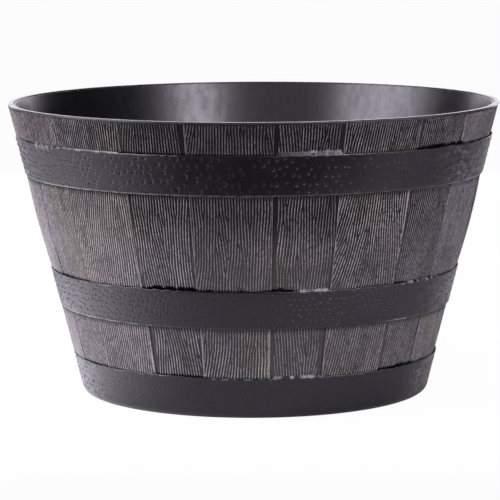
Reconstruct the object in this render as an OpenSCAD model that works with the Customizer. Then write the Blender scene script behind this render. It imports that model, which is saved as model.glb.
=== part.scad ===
// Round barrel planter: a tapered pot dressed with upright staves, held by three hoops
// and closed by a rounded rim ring, with drain plugs in its floor.
// The origin is the centre of the foot, +Z is up and the front faces -Y.
// Lengths are in millimetres and angles in degrees.

/* [Overall] */
// Diameter across the rim ring
rim_d = 394; // [320:1:520]
// Diameter of the hoops' sloped line where it meets the ground
base_d = 278; // [220:1:310]
// Height of the whole planter
planter_h = 233.5; // [200:0.5:320]

/* [Rim ring] */
// How far the ring stands out past the faces of the wide staves
rim_overhang = 0.4; // [0.2:0.1:3]
// Height of the rounded ring
rim_t = 1.6; // [1.4:0.1:6]
// Rounding of the ring's edges
rim_round = 0.6; // [0.2:0.1:0.6]
// Height of the shadow gap between the ring and the stave tops
rim_gap = 0.6; // [0.4:0.1:4]
// Thickness of the tongue that carries the ring on the stave tops
tongue_t = 2; // [1:0.1:2.5]
// How far the pot's own edge lies below the top of the ring
lip_drop = 1; // [0.4:0.1:1.2]

/* [Inner pot] */
// Thickness of the pot's wall, measured level
pot_wall = 2.4; // [1.6:0.1:5]
// Thickness of the pot's floor
floor_t = 3; // [2:0.1:6]
// Height of the floor's underside above the ground
floor_rise = 8; // [4:0.5:20]
// Radius of the corner between the floor and the wall inside
floor_round = 6; // [2:0.5:20]

/* [Staves] */
// Number of pairs of one wide and one narrow stave
stave_pairs = 10; // [8:1:12]
// Angle that a wide stave spans, with its joint
wide_angle = 20; // [14:0.1:24]
// Angle from the front to the left joint of the front wide stave
first_joint = -15.6; // [-36:0.1:0]
// Thickness of a wide stave, which stands proud
wide_t = 3.7; // [3.2:0.1:6]
// Thickness of a narrow stave, which lies sunk
narrow_t = 2.9; // [2.5:0.1:3.1]
// How far a wide stave bows out between the middle hoop and the top hoop
wide_bow = 1; // [0:0.1:1.4]
// How far a narrow stave bows out there
narrow_bow = 1.5; // [0:0.1:2]
// Width of the open joint between two staves, at the rim
joint_gap = 0.6; // [0.2:0.1:2]
// Width of the smooth border strip along each joint, at the rim
border_w = 3.4; // [1:0.1:6]
// How far the border strip lies below the face of its stave
border_drop = 0.4; // [0.1:0.1:1]

/* [Hoops] */
// Thickness of the hoops, measured level
hoop_t = 0.8; // [0.7:0.1:3]
// Bevel of the hoops' outer edges
hoop_bevel = 0.5; // [0.1:0.1:0.6]
// Height of the bottom hoop
bottom_hoop_h = 33; // [15:0.5:50]
// Height of the middle hoop
middle_hoop_h = 30; // [15:0.5:40]
// Height of the top hoop
top_hoop_h = 31.5; // [15:0.5:36]
// Drop from the stave tops to the upper edge of the top hoop
top_hoop_drop = 23; // [5:0.5:30]
// Open height between the top hoop and the middle hoop
upper_field_h = 74.5; // [50:0.5:90]
// Height of the bottom hoop's toe, which the staves stand on
toe_h = 3.5; // [2.5:0.1:7]
// Rounding of the toe's lower corner
toe_round = 6.4; // [1:0.1:7]

/* [Drain plugs] */
// Number of drain holes, each with its plug
plug_count = 4; // [3:1:6]
// Diameter of the circle that the drain holes lie on
plug_circle_d = 150; // [80:1:170]
// Diameter of a drain hole
drain_d = 14; // [8:0.5:20]
// Play around a plug's stem in its hole
plug_play = 0.05; // [0.02:0.01:0.1]
// Diameter of a plug's flange on the floor
flange_d = 24; // [22:0.5:34]
// Thickness of a plug's flange
flange_t = 2; // [1.5:0.1:4]
// Diameter of the knob that a plug is pulled by
knob_d = 10; // [7:0.5:16]
// Diameter of the neck under the knob
neck_d = 6; // [4:0.5:6.5]
// Length of the neck between the flange and the knob's middle
neck_h = 6; // [5:0.5:12]

/* [Fits] */
// Play between the pot, staves, hoops and rim ring, measured level
seat_play = 0.1; // [0.05:0.01:0.25]

/* [Hidden] */
// Smoothness of the round shapes
$fn = 96;
// Number of straight lengths that a stave's bow is made of
bow_steps = 8;
// How far a cutting shape runs past the face that it opens
overcut = 1;
// Turn of a full circle, and of the front from the +X axis
full_turn = 360;
half_turn = 180;
front = -90;
// Turn of the first drain hole from the front
first_plug_turn = 45;

// Heights of the seats
stave_top = planter_h - rim_t - rim_gap;
pot_top = planter_h - lip_drop;
floor_top = floor_rise + floor_t;
top_hoop_z = stave_top - top_hoop_drop - top_hoop_h;
middle_hoop_z = top_hoop_z - upper_field_h - middle_hoop_h;

// Angles of the staves
pair_angle = full_turn / stave_pairs;
narrow_angle = pair_angle - wide_angle;
gap_angle = joint_gap / (PI * rim_d) * full_turn;
border_angle = border_w / (PI * rim_d) * full_turn;

// Growth of the radius with height, the same for every conical face
foot_wide_r = base_d / 2 - hoop_t - seat_play;
slope = (rim_d / 2 - rim_overhang - foot_wide_r) / stave_top;
// Length of the sloped wall over its height
slant = sqrt(1 + slope * slope);

// Radii of the conical faces at height z, from the outside in
function hoop_r(z) = base_d / 2 + slope * z;
function wide_r(z) = hoop_r(z) - hoop_t - seat_play;
function pot_r(z) = wide_r(z) - wide_t - seat_play;
function inside_r(z) = pot_r(z) - pot_wall;

// The pot's upright collar and the bore of the rim ring around it
collar_r = pot_r(stave_top);
rim_bore_r = collar_r + seat_play;

function two_digits(n) = n < 10 ? str("0", n) : str(n);
function stave_name(kind, n) = str(kind, "_stave_", two_digits(n));
function plug_name(n) = str("drain_plug_", n);

// Outline of a tapered body whose sloped side starts from foot_r at the ground, with a round lower corner
module rounded_taper(foot_r, low_z, corner, high_z) {
    corner_z = low_z + corner;
    corner_r = foot_r + slope * corner_z - corner * slant;
    translate([corner_r, corner_z])
        circle(r = corner);
    polygon([
        [0, low_z],
        [corner_r, low_z],
        [corner_r, corner_z],
        [corner_r + corner / slant, corner_z - corner * slope / slant],
        [foot_r + slope * high_z, high_z],
        [0, high_z]
    ]);
}

// Outline of the pot's plastic with its inside still full
module pot_outline() {
    polygon([
        [0, floor_rise],
        [inside_r(floor_rise), floor_rise],
        [inside_r(0), 0],
        [pot_r(0), 0],
        [collar_r, stave_top],
        [collar_r, pot_top],
        [0, pot_top]
    ]);
}

// Puts its children at drain hole n, counted from 0
module at_plug(n) {
    turn = front + first_plug_turn + n * full_turn / plug_count;
    rotate([0, 0, turn])
        translate([plug_circle_d / 2, 0, 0])
            children();
}

// Smooth tapered pot with a raised floor, which stands on the lower end of its wall
module inner_pot() {
    color([0.07, 0.07, 0.08])
        difference() {
            rotate_extrude()
                difference() {
                    pot_outline();
                    rounded_taper(inside_r(0), floor_top, floor_round, pot_top + overcut);
                }
            for (n = [0:plug_count - 1])
                at_plug(n)
                    translate([0, 0, floor_rise - overcut])
                        cylinder(d = drain_d, h = floor_t + 2 * overcut);
        }
}

// Rounded ring around the pot's collar, on a tongue that rests on the staves
module rim_ring() {
    ring_r = rim_d / 2;
    ring_z = planter_h - rim_t;
    inner_r = rim_bore_r + rim_round;
    outer_r = ring_r - rim_round;
    color([0.11, 0.11, 0.12])
        rotate_extrude()
            union() {
                translate([rim_bore_r, ring_z])
                    square([outer_r - rim_bore_r, rim_t - rim_round]);
                translate([inner_r, ring_z])
                    square([outer_r - inner_r, rim_t]);
                translate([rim_bore_r, ring_z + rim_round])
                    square([ring_r - rim_bore_r, rim_t - 2 * rim_round]);
                translate([rim_bore_r, stave_top])
                    square([tongue_t, rim_gap + rim_round]);
                for (r = [inner_r, outer_r])
                    translate([r, planter_h - rim_round])
                        circle(r = rim_round);
                translate([outer_r, ring_z + rim_round])
                    circle(r = rim_round);
            }
}

// Part of a stave: a conical slab between two turns that bows out between the upper hoops
module stave_slab(thickness, bow, from_turn, to_turn) {
    function slab_r(z) = pot_r(z) + seat_play + thickness;
    field_z = middle_hoop_z + middle_hoop_h;
    rotate_extrude(angle = to_turn - from_turn, start = front + from_turn)
        polygon(concat(
            [[pot_r(toe_h) + seat_play, toe_h], [slab_r(toe_h), toe_h]],
            [for (step = [0:bow_steps])
                let (share = step / bow_steps, z = field_z + share * upper_field_h)
                [slab_r(z) + bow * sin(half_turn * share), z]],
            [[slab_r(stave_top), stave_top], [pot_r(stave_top) + seat_play, stave_top]]
        ));
}

// One stave with a raised face between two border strips
module stave(thickness, bow, from_turn, to_turn) {
    stave_slab(thickness - border_drop, bow, from_turn, to_turn);
    stave_slab(thickness, bow, from_turn + border_angle, to_turn - border_angle);
}

// Proud stave number n, counted to the viewer's right from the front one
module wide_stave(n) {
    from_turn = first_joint + (n - 1) * pair_angle;
    color([0.30, 0.28, 0.26])
        stave(wide_t, wide_bow, from_turn + gap_angle / 2, from_turn + wide_angle - gap_angle / 2);
}

// Sunk stave number n, to the right of the wide stave of that number
module narrow_stave(n) {
    from_turn = first_joint + (n - 1) * pair_angle + wide_angle;
    color([0.24, 0.22, 0.21])
        stave(narrow_t, narrow_bow, from_turn + gap_angle / 2, from_turn + narrow_angle - gap_angle / 2);
}

// Outline of the thin conical band of a hoop
module hoop_outline(low_z, band_h) {
    high_z = low_z + band_h;
    polygon([
        [hoop_r(low_z) - hoop_t, low_z],
        [hoop_r(low_z) - hoop_bevel, low_z],
        [hoop_r(low_z + hoop_bevel), low_z + hoop_bevel],
        [hoop_r(high_z - hoop_bevel), high_z - hoop_bevel],
        [hoop_r(high_z) - hoop_bevel, high_z],
        [hoop_r(high_z) - hoop_t, high_z]
    ]);
}

// Thin conical band around the proud staves
module hoop(low_z, band_h) {
    color([0.13, 0.13, 0.14])
        rotate_extrude()
            hoop_outline(low_z, band_h);
}

// Band with a toe that reaches in under the staves, rounded where it meets the ground
module bottom_hoop() {
    color([0.13, 0.13, 0.14])
        rotate_extrude()
            intersection() {
                rounded_taper(hoop_r(0), 0, toe_round, bottom_hoop_h);
                union() {
                    hoop_outline(0, bottom_hoop_h);
                    polygon([
                        [pot_r(0) + seat_play, 0],
                        [hoop_r(0), 0],
                        [hoop_r(toe_h), toe_h],
                        [pot_r(toe_h) + seat_play, toe_h]
                    ]);
                }
            }
}

module middle_hoop() {
    hoop(middle_hoop_z, middle_hoop_h);
}

module top_hoop() {
    hoop(top_hoop_z, top_hoop_h);
}

// Rubber plug: a stem through the floor, a flange on it and a knob to pull
module drain_plug(n) {
    stem_r = drain_d / 2 - plug_play;
    flange_top = floor_top + flange_t;
    color([0.05, 0.05, 0.05])
        at_plug(n - 1) {
            translate([0, 0, floor_rise])
                cylinder(r = stem_r, h = floor_t);
            translate([0, 0, floor_top])
                cylinder(d = flange_d, h = flange_t);
            translate([0, 0, flange_top])
                cylinder(d = neck_d, h = neck_h);
            translate([0, 0, flange_top + neck_h])
                sphere(d = knob_d);
        }
}

inner_pot();
rim_ring();
for (n = [1:stave_pairs]) {
    wide_stave(n);
    narrow_stave(n);
}
bottom_hoop();
middle_hoop();
top_hoop();
for (n = [1:plug_count])
    drain_plug(n);
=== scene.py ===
"""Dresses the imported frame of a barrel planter: grained staves, dented hoops, rim, pot, plugs and a stage.

The file is laid out as an add-on and is run as a script. Lengths are in metres and turns in radians,
measured from the front (-Y) toward +X, unless a name says otherwise.
"""

import math
from types import SimpleNamespace

import bmesh
import bpy
import numpy as np
from bpy.props import FloatProperty, FloatVectorProperty, IntProperty, PointerProperty
from mathutils import Matrix, Vector


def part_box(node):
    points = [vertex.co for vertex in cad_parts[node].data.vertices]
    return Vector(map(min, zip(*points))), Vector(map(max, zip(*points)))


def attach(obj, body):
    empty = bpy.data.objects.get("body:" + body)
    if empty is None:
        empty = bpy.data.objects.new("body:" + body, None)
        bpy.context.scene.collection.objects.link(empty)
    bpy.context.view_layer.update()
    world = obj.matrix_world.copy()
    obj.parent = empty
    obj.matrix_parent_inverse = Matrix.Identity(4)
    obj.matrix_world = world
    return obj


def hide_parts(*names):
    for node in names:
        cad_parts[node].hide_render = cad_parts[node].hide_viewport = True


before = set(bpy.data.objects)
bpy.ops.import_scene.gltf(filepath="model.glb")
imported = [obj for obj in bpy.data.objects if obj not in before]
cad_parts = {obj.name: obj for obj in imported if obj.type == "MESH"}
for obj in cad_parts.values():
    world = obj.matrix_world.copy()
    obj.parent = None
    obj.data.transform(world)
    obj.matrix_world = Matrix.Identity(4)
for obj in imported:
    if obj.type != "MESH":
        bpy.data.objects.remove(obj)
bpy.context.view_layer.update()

bl_info = {
    "name": "Barrel planter",
    "version": (1, 0, 0),
    "blender": (4, 5, 0),
    "location": "View3D > Sidebar > Planter",
    "description": "Builds the visible pieces of a moulded barrel planter around its solids",
    "category": "Add Mesh",
}

BODY = "planter"
PAIRS = sum(name.startswith("wide_stave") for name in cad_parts)
PLUGS = sum(name.startswith("drain_plug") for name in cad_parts)
MM = 0.001
FULL_TURN = 2 * math.pi
# Heights or radii of the solids that differ by less than this are the same
TOUCH = 0.05 * MM
# How far from a corner of an outline a place still counts as being at it
AT_CORNER = 0.1 * MM
# Vertices closer together than this are merged
MERGE = 1e-7
SHARP_FROM = math.radians(62)


class GrainSettings(bpy.types.PropertyGroup):
    """Sizes and colours of the wood grain on the staves."""

    pitch: FloatProperty(
        name="Pitch", description="Distance between two ridges", default=2.18 * MM, unit="LENGTH"
    )
    depth: FloatProperty(
        name="Depth", description="Height of a ridge over its valleys", default=0.7 * MM, unit="LENGTH"
    )
    edge: FloatProperty(
        name="Edge", description="Width of the rubbed edge of a wide stave", default=0.9 * MM, unit="LENGTH"
    )
    border: FloatProperty(
        name="Border", description="Most usual width of the smooth strip along a narrow stave",
        default=3.2 * MM, unit="LENGTH",
    )
    border_drop: FloatProperty(
        name="Border drop", description="How far that strip lies below the face",
        default=0.3 * MM, unit="LENGTH",
    )
    wave: FloatProperty(
        name="Wave", description="How far the grain wanders from its lean",
        default=math.radians(3.8), subtype="ANGLE",
    )
    plastic: FloatVectorProperty(
        name="Plastic", description="Colour of the bare plastic in the valleys",
        default=(0.0035, 0.0033, 0.004), subtype="COLOR",
    )
    cool_paint: FloatVectorProperty(
        name="Cool paint", description="Grey dry-brushed paint", default=(0.41, 0.381, 0.381), subtype="COLOR"
    )
    warm_paint: FloatVectorProperty(
        name="Warm paint", description="Brown dry-brushed paint",
        default=(0.435, 0.397, 0.347), subtype="COLOR",
    )


class HoopSettings(bpy.types.PropertyGroup):
    """Sizes and colour of the three hoops."""

    dent_radius: FloatProperty(
        name="Dent radius", description="Radius of the largest hammered dents",
        default=2.0 * MM, unit="LENGTH",
    )
    dent_depth: FloatProperty(
        name="Dent depth", description="Depth of a hammered dent", default=0.6 * MM, unit="LENGTH"
    )
    toe_round: FloatProperty(
        name="Toe rounding", description="Rounding of the bottom hoop's lower corner",
        default=6.4 * MM, unit="LENGTH",
    )
    plastic: FloatVectorProperty(
        name="Plastic", description="Colour of the hoops", default=(0.005, 0.0045, 0.006), subtype="COLOR"
    )


class PotSettings(bpy.types.PropertyGroup):
    """Colours of the pot, the rim ring and the plugs."""

    inside: FloatVectorProperty(
        name="Inside", description="Colour of the smooth pot",
        default=(0.0016, 0.0015, 0.0018), subtype="COLOR",
    )
    rim: FloatVectorProperty(
        name="Rim", description="Colour of the rim ring", default=(0.03, 0.028, 0.031), subtype="COLOR"
    )
    rubber: FloatVectorProperty(
        name="Rubber", description="Colour of the drain plugs", default=(0.012, 0.012, 0.012), subtype="COLOR"
    )


class StageSettings(bpy.types.PropertyGroup):
    """Camera and seed."""

    camera_distance: FloatProperty(
        name="Camera distance", description="Level distance from the planter's axis",
        default=2.3086, unit="LENGTH",
    )
    camera_height: FloatProperty(
        name="Camera height", description="Height above the ground", default=0.427, unit="LENGTH"
    )
    camera_tilt: FloatProperty(
        name="Camera tilt", description="Angle below the horizon", default=math.radians(7.77), subtype="ANGLE"
    )
    camera_turn: FloatProperty(
        name="Camera turn", description="Turn of the view to the left",
        default=math.radians(0.0915), subtype="ANGLE",
    )
    camera_roll: FloatProperty(
        name="Camera roll", description="Roll of the picture", default=math.radians(-0.28), subtype="ANGLE"
    )
    lens: FloatProperty(name="Lens", description="Focal length for a 36 mm frame, in mm", default=207.12)
    seed: IntProperty(name="Seed", description="Seed of everything random", default=7)


SETTINGS = {
    "planter_grain": GrainSettings,
    "planter_hoops": HoopSettings,
    "planter_pot": PotSettings,
    "planter_stage": StageSettings,
}


# Reading the frame


def mesh_coordinates(mesh):
    """Vertex coordinates of a mesh as an array of rows."""
    flat = np.empty(len(mesh.vertices) * 3)
    mesh.vertices.foreach_get("co", flat)
    return flat.reshape(-1, 3)


def ring_coordinates(mesh):
    """Radius, height and turn of every vertex of a mesh."""
    x, y, z = mesh_coordinates(mesh).T
    return np.hypot(x, y), z, np.arctan2(x, -y)


def places(node):
    """Radius, height and turn of every vertex of a CAD node."""
    return ring_coordinates(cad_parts[node].data)


def levels(node):
    """Heights of the lower and the upper end of a CAD node."""
    low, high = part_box(node)
    return low.z, high.z


def level_radii(node, height):
    """Least and greatest radius of a CAD node's vertices at one height."""
    radius, z, _ = places(node)
    there = radius[np.abs(z - height) < TOUCH]
    return there.min(), there.max()


class Cone:
    """A radius that grows evenly with height, from its radius at one height."""

    def __init__(self, z, radius, slope):
        self.slope = slope
        self.base = radius - slope * z

    def __call__(self, z):
        return self.base + self.slope * z


def cone_between(low, low_r, high, high_r):
    """The cone that has two known radii at two heights."""
    return Cone(low, low_r, (high_r - low_r) / (high - low))


def stave_faces(node):
    """Heights, inner cone and outer cone of a stave."""
    low, high = levels(node)
    radii = zip(level_radii(node, low), level_radii(node, high))
    inner, outer = (cone_between(low, low_r, high, high_r) for low_r, high_r in radii)
    return low, high, inner, outer


def stave_bow(node, outer):
    """How far the face of a stave bows out past its cone."""
    radius, z, _ = places(node)
    return (radius - outer(z)).max()


def turn_from(middle, turn):
    """Turn counted from a middle, at most half a turn either way."""
    return (turn - middle + math.pi) % FULL_TURN - math.pi


def stave_span(node):
    """Turn of a stave's middle, and the turn that it spans."""
    _, _, turn = places(node)
    middle = math.atan2(np.sin(turn).sum(), np.cos(turn).sum())
    offset = turn_from(middle, turn)
    return middle + (offset.max() + offset.min()) / 2, offset.max() - offset.min()


def floor_height():
    """Height of the pot's floor, on top."""
    radius, z, _ = places("inner_pot")
    return z[radius < 0.5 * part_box("inner_pot")[1].x].max()


def plug_sizes(n):
    """Place and sizes of a drain plug, and the radius of its hole."""
    low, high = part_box(f"drain_plug_{n}")
    x, y, _ = (low + high) / 2

    def from_axis(node):
        points = mesh_coordinates(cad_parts[node].data)
        return np.hypot(points[:, 0] - x, points[:, 1] - y), points[:, 2]

    radius, z = from_axis(f"drain_plug_{n}")
    flange = radius.max()
    flange_top = z[radius > flange - TOUCH].max()
    on_flange = radius[np.abs(z - flange_top) < TOUCH]
    return SimpleNamespace(
        x=x,
        y=y,
        low=low.z,
        high=high.z,
        stem=radius[z < low.z + TOUCH].max(),
        flange=flange,
        flange_top=flange_top,
        neck=on_flange[on_flange > 0.5 * MM].min(),
        knob=radius[z > flange_top + TOUCH].max(),
        hole=from_axis("inner_pot")[0].min(),
    )


# Shared shapes and random fields

NOISE_FALL = 4
# Keeps a place just inside the last row or column of a grid
INSIDE = 1.001


def smooth_step(low, high, value):
    """0 below low, 1 above high and an even curve between."""
    t = np.clip((value - low) / (high - low), 0, 1)
    return t * t * (3 - 2 * t)


def soft_noise(rng, shape, step, size):
    """A smooth random field with a deviation of 1 and features of about one size."""
    fz = np.fft.fftfreq(shape[0], step[0])[:, None] * size[0]
    fx = np.fft.rfftfreq(shape[1], step[1])[None, :] * size[1]
    waves = np.fft.rfft2(rng.standard_normal(shape)) * np.exp(-NOISE_FALL * (fz**2 + fx**2))
    field = np.fft.irfft2(waves, s=shape)
    return field / field.std()


def varied(noise, amount, least=None, most=None):
    """Shares around 1 that follow a noise, by default between 1 - amount and 1 + amount."""
    least = 1 - amount if least is None else least
    most = 1 + amount if most is None else most
    return np.clip(1 + amount * noise, least, most)


def sample(grid, rows, cols):
    """Values of a grid at fractional rows and columns."""
    rows, cols = (np.clip(at, 0, size - INSIDE) for at, size in zip((rows, cols), grid.shape))
    r, c = rows.astype(int), cols.astype(int)
    fr, fc = rows - r, cols - c
    top = grid[r + 1, c] * (1 - fc) + grid[r + 1, c + 1] * fc
    return (grid[r, c] * (1 - fc) + grid[r, c + 1] * fc) * (1 - fr) + top * fr


def rounded_edge(distance, depth, reach):
    """How far a face falls away beside an edge, by its distance from the edge."""
    return depth * (1 - np.clip(distance / reach, 0, 1)) ** 2


def new_profile(points, turn=0.0):
    """A bmesh with one face: an outline of (radius, height) points in the plane of one turn."""
    bm = bmesh.new()
    corners = [bm.verts.new((r * math.sin(turn), -r * math.cos(turn), z)) for r, z in points]
    bm.faces.new(corners)
    return bm


def open_at_axis(bm):
    """Takes the edge of an outline that lies on the axis away, before the outline is spun."""
    on_axis = [edge for edge in bm.edges if all(abs(vert.co.y) < MERGE for vert in edge.verts)]
    bmesh.ops.delete(bm, geom=on_axis, context="EDGES")


def face_test(low, high, inner, outer):
    """A test for places on the outer face between two heights, nearer to the outer than to the inner cone."""

    def on_face(place):
        radius = math.hypot(place.x, place.y)
        return low + AT_CORNER < place.z < high - AT_CORNER and radius > (inner(place.z) + outer(place.z)) / 2

    return on_face


def split_edge(bm, test, cuts):
    """Cuts each edge whose middle passes a test into equal lengths."""
    edges = [e for e in bm.edges if test((e.verts[0].co + e.verts[1].co) / 2)]
    bmesh.ops.subdivide_edges(bm, edges=edges, cuts=cuts)


def spin(bm, angle, steps):
    """Sweeps everything in a bmesh around the axis, closed when the angle is a full turn."""
    full = bool(abs(angle - FULL_TURN) < MERGE)
    if full:
        bmesh.ops.delete(bm, geom=list(bm.faces), context="FACES_ONLY")
    bmesh.ops.spin(
        bm, geom=[*bm.verts, *bm.edges, *bm.faces], cent=(0, 0, 0), axis=(0, 0, 1), dvec=(0, 0, 0),
        angle=angle, steps=steps, use_merge=full,
    )
    bmesh.ops.remove_doubles(bm, verts=bm.verts, dist=MERGE)
    bmesh.ops.recalc_face_normals(bm, faces=bm.faces)


def apart_in_turn(edge):
    """Whether an edge runs around the axis, not out from it."""
    first, second = (vert.co for vert in edge.verts)
    return abs(first.x * second.y - first.y * second.x) > MERGE


def spin_finely(bm, angle, steps, cuts):
    """Sweeps an outline around the axis in a few steps and cuts each step evenly, which is much faster."""
    spin(bm, angle, steps)
    around = [e for e in bm.edges if abs(e.verts[0].co.z - e.verts[1].co.z) < MERGE and apart_in_turn(e)]
    bmesh.ops.subdivide_edges(bm, edges=around, cuts=cuts)


def off_chord(radius, turn, coarse):
    """Radius on the round shape of places that a sweep in coarse steps left on its chords."""
    return radius * np.cos(turn % coarse - coarse / 2) / math.cos(coarse / 2)


def round_corners(bm, test, radius, segments):
    """Rounds those corners of an outline whose place passes a test."""
    corners = [vert for vert in bm.verts if test(vert.co)]
    bmesh.ops.bevel(
        bm, geom=corners, offset=radius, offset_type="OFFSET", segments=segments, profile=0.5,
        affect="VERTICES", material=-1, clamp_overlap=True,
    )


def add_object(name, data):
    """A new object of the scene."""
    made = bpy.data.objects.new(name, data)
    bpy.context.scene.collection.objects.link(made)
    return made


def add_mesh(name, bm):
    """A new object of the scene with the shape of a bmesh."""
    mesh = bpy.data.meshes.new(name)
    bm.to_mesh(mesh)
    bm.free()
    return add_object(name, mesh)


def finish_piece(bm, name, body, material, nodes):
    """Turns a bmesh into a named piece that rides on a body and stands for its nodes."""
    piece = add_mesh(name, bm)
    mesh = piece.data
    mesh.materials.append(material)
    mesh.polygons.foreach_set("use_smooth", np.ones(len(mesh.polygons), bool))
    mesh.set_sharp_from_angle(angle=SHARP_FROM)
    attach(piece, body)
    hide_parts(*nodes)
    return piece


def put_ring_coordinates(mesh, radius, turn, height):
    """Moves the vertices of a mesh to a radius, a turn and a height each."""
    points = np.stack([radius * np.sin(turn), -radius * np.cos(turn), height], axis=1)
    mesh.vertices.foreach_set("co", points.ravel())
    mesh.update()


def add_attributes(mesh, **fields):
    """Stores numbers for the materials, one a vertex under each name."""
    for name, values in fields.items():
        layer = mesh.attributes.new(name, "FLOAT", "POINT")
        layer.data.foreach_set("value", np.asarray(values, np.float32))


# Materials

# Where a dent's raised lip, and the painted highlight on it, stand from the middle of a dent, in dent radii
LIP_WAY = 0.95


class Shader:
    """Nodes of a material or a world, with short calls for the kinds that the planter needs."""

    def __init__(self, block, surface="Principled BSDF"):
        block.use_nodes = True
        self.block = block
        self.tree = block.node_tree
        self.surface = self.tree.nodes[surface]

    def add(self, kind, **values):
        node = self.tree.nodes.new(kind)
        for key, value in values.items():
            setattr(node, key, value)
        return node

    def feed(self, socket, value):
        if isinstance(value, bpy.types.NodeSocket):
            self.tree.links.new(value, socket)
        else:
            socket.default_value = value

    def fill(self, node, **values):
        """Feeds inputs of a node, named with _ for a space, and returns the node's outputs."""
        for key, value in values.items():
            self.feed(node.inputs[key.replace("_", " ")], value)
        return node.outputs

    def object_place(self):
        """Place on the piece, which a pattern stays fixed to."""
        return self.add("ShaderNodeTexCoord").outputs["Object"]

    def attribute(self, name):
        return self.add("ShaderNodeAttribute", attribute_name=name).outputs["Fac"]

    def noise(self, scale, detail, roughness, upright=1.0):
        """A fine pattern, with its spots drawn out upward where upright is less than 1."""
        mapping = self.add("ShaderNodeMapping")
        place = self.fill(mapping, Vector=self.object_place(), Scale=(1.0, 1.0, upright))["Vector"]
        spots = self.add("ShaderNodeTexNoise")
        return self.fill(spots, Vector=place, Scale=scale, Detail=detail, Roughness=roughness)["Fac"]

    def fit(self, value, span, result=(0.0, 1.0)):
        """A value within a span, eased to run from the first to the second result."""
        (low, high), (to_low, to_high) = span, result
        node = self.add("ShaderNodeMapRange", interpolation_type="SMOOTHSTEP")
        eased = self.fill(node, Value=value, From_Min=low, From_Max=high, To_Min=to_low, To_Max=to_high)
        return eased["Result"]

    def math(self, operation, first, second=0.0):
        node = self.add("ShaderNodeMath", operation=operation)
        self.feed(node.inputs[0], first)
        self.feed(node.inputs[1], second)
        return node.outputs["Value"]

    def times(self, first, second):
        return self.math("MULTIPLY", first, second)

    def mix(self, factor, first, second):
        node = self.add("ShaderNodeMix", data_type="RGBA")
        shown = {socket.name: socket for socket in node.inputs if socket.enabled}
        for key, value in (("Factor", factor), ("A", first), ("B", second)):
            self.feed(shown[key], value)
        return next(socket for socket in node.outputs if socket.enabled)

    def bump(self, height, distance, strength, **base):
        node = self.add("ShaderNodeBump")
        return self.fill(node, Height=height, Distance=distance, Strength=strength, **base)["Normal"]


def opaque(colour, tone=1.0):
    """A colour with full alpha for a node's socket, made lighter or darker."""
    return (*(tone * channel for channel in colour), 1.0)


def stave_material(name, settings, tone, strip_paint):
    """Dark plastic whose ridge tops are dry-brushed with light paint, thicker in some places than others,
    with painted light and shade laid into that paint and into the haze of the valleys.
    """
    shader = Shader(bpy.data.materials.new(name))
    grit = shader.noise(scale=1000.0, detail=3.0, roughness=0.6, upright=0.45)
    streak = shader.noise(scale=160.0, detail=2.0, roughness=0.5, upright=0.2)
    patch = shader.noise(scale=14.0, detail=1.0, roughness=0.5, upright=0.6)
    hue = shader.noise(scale=21.0, detail=1.0, roughness=0.5, upright=0.5)
    top = shader.fit(shader.math("ADD", shader.attribute("ridge"), grit), (1.15, 1.57))
    cover = shader.times(
        shader.fit(streak, (0.3, 0.66), (0.55, 1.0)), shader.fit(patch, (0.3, 0.7), (0.72, 1.0))
    )
    strip_cover = shader.fit(grit, (0.35, 0.65), (0.3 * strip_paint, strip_paint))
    on_strip = shader.times(shader.attribute("strip"), strip_cover)
    brushed = shader.math("MAXIMUM", shader.times(top, cover), on_strip)
    # Paint haze in the valleys, with painted floor light toward the bottom
    haze = shader.times(shader.attribute("haze"), shader.fit(patch, (0.3, 0.7), (0.6, 1.4)))
    # The paint share also carries painted light and shade.
    paint_mask = shader.math("MAXIMUM", shader.times(brushed, shader.attribute("coat")), haze)
    warmth = shader.fit(shader.math("ADD", hue, shader.attribute("warmth")), (0.42, 0.64))
    paint = shader.mix(warmth, opaque(settings.cool_paint, tone), opaque(settings.warm_paint, tone))
    # In the gap over a hoop the gloss is almost taken away: painted shade
    gloss = shader.fit(paint_mask, (0.0, 0.5), (0.4, 0.5))
    shader.fill(
        shader.surface,
        Base_Color=shader.mix(paint_mask, opaque(settings.plastic), paint),
        Roughness=shader.fit(paint_mask, (0.0, 0.5), (0.29, 0.62)),
        Specular_IOR_Level=shader.fit(shader.attribute("gap"), (0.2, 0.9), (gloss, 0.02)),
        Normal=shader.bump(grit, distance=0.12 * MM, strength=0.5),
    )
    return shader.block


def hoop_material(settings, paint):
    """Satin charcoal with a fine skin, paint rubbed off on the edges and painted highlights on the dent lips.
    """
    shader = Shader(bpy.data.materials.new("hoop"))
    skin = shader.noise(scale=900.0, detail=3.0, roughness=0.6)
    cloud = shader.noise(scale=30.0, detail=2.0, roughness=0.5)
    speck = shader.noise(scale=420.0, detail=2.0, roughness=0.6)
    edge = shader.attribute("worn")
    spread = shader.math("ADD", speck, shader.times(edge, 0.1))
    # Each dent's lip gets a painted highlight, which is joined into the worn paint
    off_lip = shader.math("ABSOLUTE", shader.math("SUBTRACT", shader.attribute("dent_way"), LIP_WAY))
    lip = shader.times(shader.attribute("dent_light"), shader.fit(off_lip, (0.02, 0.25), (0.8, 0.0)))
    worn = shader.math("MAXIMUM", shader.times(edge, shader.fit(spread, (0.38, 0.58))), lip)
    plain, light = opaque(settings.plastic), opaque(settings.plastic, 1.35)
    shader.fill(
        shader.surface,
        Base_Color=shader.mix(worn, shader.mix(shader.fit(cloud, (0.3, 0.7)), plain, light), opaque(paint)),
        Roughness=shader.fit(cloud, (0.3, 0.7), (0.27, 0.36)),
        Normal=shader.bump(skin, distance=0.1 * MM, strength=0.6),
    )
    return shader.block


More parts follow.
